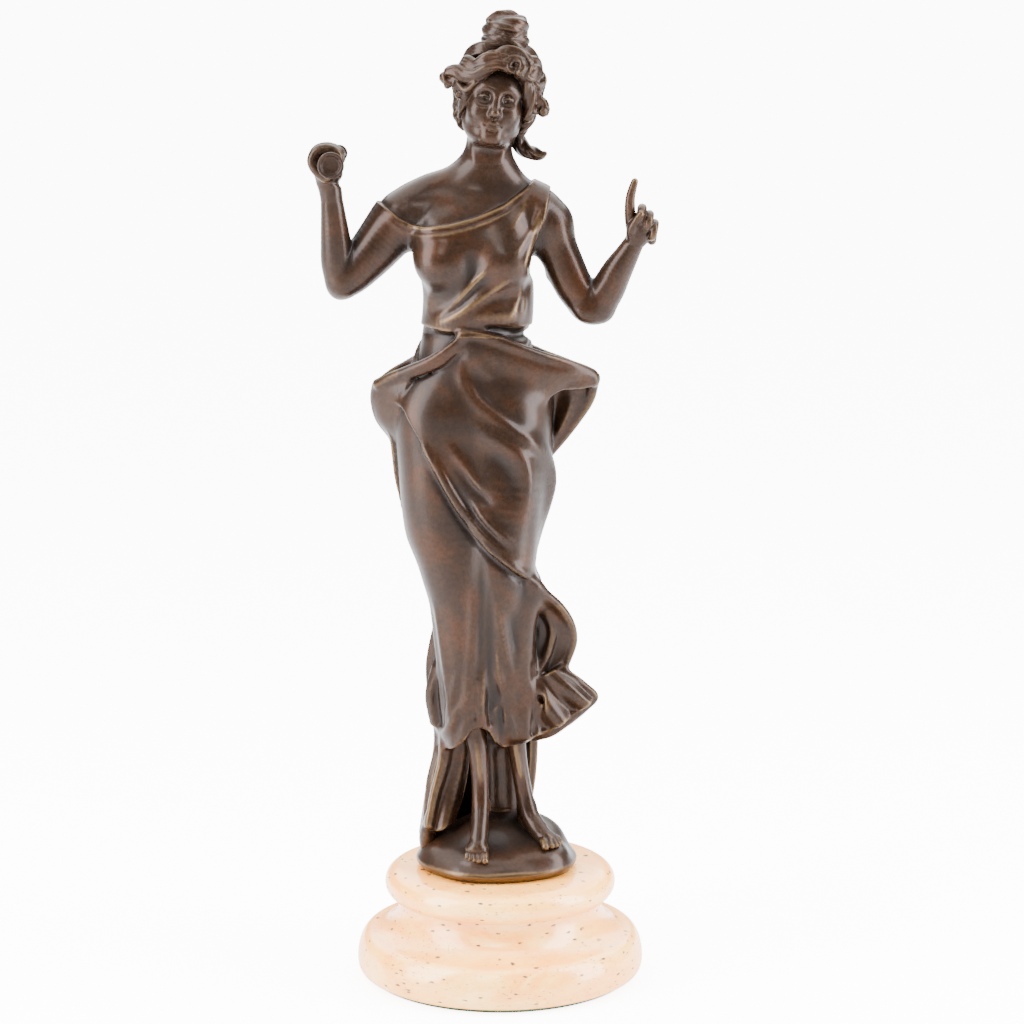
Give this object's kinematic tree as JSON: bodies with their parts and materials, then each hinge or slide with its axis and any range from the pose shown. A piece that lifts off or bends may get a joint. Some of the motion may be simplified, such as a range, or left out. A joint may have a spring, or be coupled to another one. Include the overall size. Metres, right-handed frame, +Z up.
{
  "type": "bronze statuette",
  "caption": "Standing draped female dancer in patinated bronze, one hand holding a flute and one raised, on a round turned stone socle.",
  "frame": {"origin": "centre of the felt's resting face", "axes": "+Z up through the figure, -Y is the way that the figure faces, +X is the figure's left"},
  "size_m": [0.1003, 0.084, 0.28],
  "materials": {
    "bronze": "satin",
    "stone": "polished",
    "steel": "satin",
    "felt": "matte"
  },
  "bodies": {
    "root": {"socle": "stone", "felt_pad": "felt", "mounting_stud": "steel", "stud_washer": "steel", "stud_nut": "steel", "locating_pin": "steel", "mound": "bronze", "right_foot": "bronze", "left_foot": "bronze", "foot_screws": "steel", "gown": "bronze", "train": "bronze", "right_hip_drape": "bronze", "left_hip_drape": "bronze", "hem_swirl": "bronze", "bodice": "bronze", "waist_pins": "bronze", "right_arm": "bronze", "right_shoulder_pin": "bronze", "left_arm": "bronze", "left_shoulder_pin": "bronze", "head": "bronze", "neck_pin": "bronze", "flute": "bronze"}
  },
  "joints": []
}
